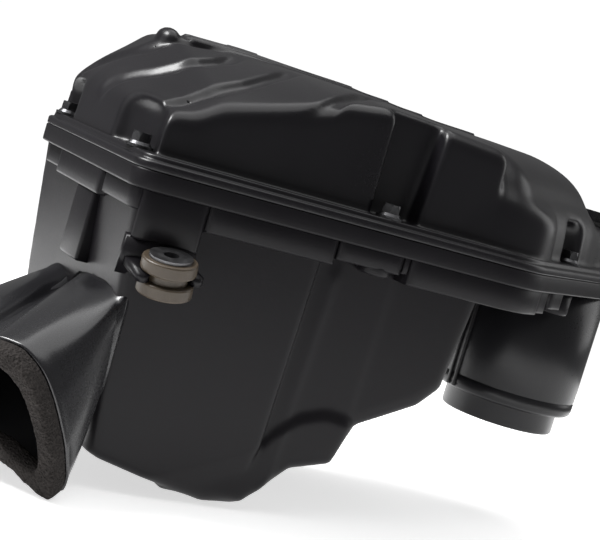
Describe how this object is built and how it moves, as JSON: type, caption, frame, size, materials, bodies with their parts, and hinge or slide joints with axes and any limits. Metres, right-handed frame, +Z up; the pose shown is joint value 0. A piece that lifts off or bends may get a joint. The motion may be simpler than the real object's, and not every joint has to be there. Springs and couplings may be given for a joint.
{
  "type": "air filter housing",
  "caption": "Car air cleaner housing: deep lower case with flared inlet duct and round outlet neck, ribbed domed cover on screws, panel filter inside.",
  "frame": {"origin": "centre of the front mounting sleeve", "axes": "+Z up, square to the seam between case and cover; +X along the long front edge, from the inlet end to the outlet end; +Y from the front to the back"},
  "size_m": [0.4198, 0.215, 0.2194],
  "materials": {
    "case_plastic": "satin black moulded",
    "cover_plastic": "semi-gloss black moulded",
    "duct_plastic": "glossy black blow moulded",
    "seal_rubber": "matt",
    "foam": "open-cell foam, dusty",
    "grommet_rubber": "brown rubber",
    "sleeve_steel": "dull zinc",
    "screw_steel": "zinc plated",
    "washer_steel": "zinc plated",
    "insert_brass": "knurled",
    "filter_rubber": "cast polyurethane",
    "filter_paper": "pleated paper",
    "filter_glue": "hot melt",
    "sensor_plastic": "glass filled nylon"
  },
  "bodies": {
    "case": {"lower_case": "case_plastic", "outlet_neck": "case_plastic", "outlet_seal": "seal_rubber", "inlet_duct": "duct_plastic", "inlet_foam_seal": "foam", "thread_inserts": "insert_brass", "front_grommet": "grommet_rubber", "front_sleeve": "sleeve_steel", "rear_grommet": "grommet_rubber", "rear_sleeve": "sleeve_steel"},
    "filter": {"filter_gasket": "filter_rubber", "filter_media": "filter_paper", "filter_beads": "filter_glue"},
    "cover": {"upper_cover": "cover_plastic", "sensor_grommet": "seal_rubber", "air_temperature_sensor": "sensor_plastic"},
    "washer_1": {"screw_washer_1": "washer_steel"},
    "screw_1": {"cover_screw_1": "screw_steel"},
    "washer_2": {"screw_washer_2": "washer_steel"},
    "screw_2": {"cover_screw_2": "screw_steel"},
    "washer_3": {"screw_washer_3": "washer_steel"},
    "screw_3": {"cover_screw_3": "screw_steel"},
    "washer_4": {"screw_washer_4": "washer_steel"},
    "screw_4": {"cover_screw_4": "screw_steel"},
    "washer_5": {"screw_washer_5": "washer_steel"},
    "screw_5": {"cover_screw_5": "screw_steel"},
    "washer_6": {"screw_washer_6": "washer_steel"},
    "screw_6": {"cover_screw_6": "screw_steel"},
    "washer_7": {"screw_washer_7": "washer_steel"},
    "screw_7": {"cover_screw_7": "screw_steel"}
  },
  "joints": [
    {"name": "cover_lift", "type": "slide", "parent": "case", "child": "cover", "axis": [0, 0, 1], "range_m": [0, 0.12]},
    {"name": "filter_lift", "type": "slide", "parent": "case", "child": "filter", "axis": [0, 0, 1], "range_m": [0, 0.06]},
    {"name": "screw_1_rise", "type": "slide", "parent": "cover", "child": "washer_1", "axis": [0, 0, 1], "range_m": [0, 0.012]},
    {"name": "screw_1_turn", "type": "hinge", "parent": "washer_1", "child": "screw_1", "pos_m": [-0.013, 0.1565, 0.049], "axis": [0, 0, 1], "range_deg": [0, 2166]},
    {"name": "screw_2_rise", "type": "slide", "parent": "cover", "child": "washer_2", "axis": [0, 0, 1], "range_m": [0, 0.012]},
    {"name": "screw_2_turn", "type": "hinge", "parent": "washer_2", "child": "screw_2", "pos_m": [-0.014, 0.0405, 0.049], "axis": [0, 0, 1], "range_deg": [0, 2166]},
    {"name": "screw_3_rise", "type": "slide", "parent": "cover", "child": "washer_3", "axis": [0, 0, 1], "range_m": [0, 0.012]},
    {"name": "screw_3_turn", "type": "hinge", "parent": "washer_3", "child": "screw_3", "pos_m": [0.108, 0.019, 0.049], "axis": [0, 0, 1], "range_deg": [0, 2166]},
    {"name": "screw_4_rise", "type": "slide", "parent": "cover", "child": "washer_4", "axis": [0, 0, 1], "range_m": [0, 0.012]},
    {"name": "screw_4_turn", "type": "hinge", "parent": "washer_4", "child": "screw_4", "pos_m": [0.2435, 0.0595, 0.049], "axis": [0, 0, 1], "range_deg": [0, 2166]},
    {"name": "screw_5_rise", "type": "slide", "parent": "cover", "child": "washer_5", "axis": [0, 0, 1], "range_m": [0, 0.012]},
    {"name": "screw_5_turn", "type": "hinge", "parent": "washer_5", "child": "screw_5", "pos_m": [0.0885, 0.166, 0.049], "axis": [0, 0, 1], "range_deg": [0, 2166]},
    {"name": "screw_6_rise", "type": "slide", "parent": "cover", "child": "washer_6", "axis": [0, 0, 1], "range_m": [0, 0.012]},
    {"name": "screw_6_turn", "type": "hinge", "parent": "washer_6", "child": "screw_6", "pos_m": [0.1905, 0.166, 0.049], "axis": [0, 0, 1], "range_deg": [0, 2166]},
    {"name": "screw_7_rise", "type": "slide", "parent": "cover", "child": "washer_7", "axis": [0, 0, 1], "range_m": [0, 0.012]},
    {"name": "screw_7_turn", "type": "hinge", "parent": "washer_7", "child": "screw_7", "pos_m": [0.3115, 0.1465, 0.049], "axis": [0, 0, 1], "range_deg": [0, 2166]}
  ],
  "couplings": [
    {"joint": "filter_lift", "follows": "cover_lift", "ratio": 0.5},
    {"joint": "screw_1_turn", "follows": "screw_1_rise", "rad_per_m": 3141.6},
    {"joint": "screw_2_turn", "follows": "screw_2_rise", "rad_per_m": 3141.6},
    {"joint": "screw_3_turn", "follows": "screw_3_rise", "rad_per_m": 3141.6},
    {"joint": "screw_4_turn", "follows": "screw_4_rise", "rad_per_m": 3141.6},
    {"joint": "screw_5_turn", "follows": "screw_5_rise", "rad_per_m": 3141.6},
    {"joint": "screw_6_turn", "follows": "screw_6_rise", "rad_per_m": 3141.6},
    {"joint": "screw_7_turn", "follows": "screw_7_rise", "rad_per_m": 3141.6}
  ]
}
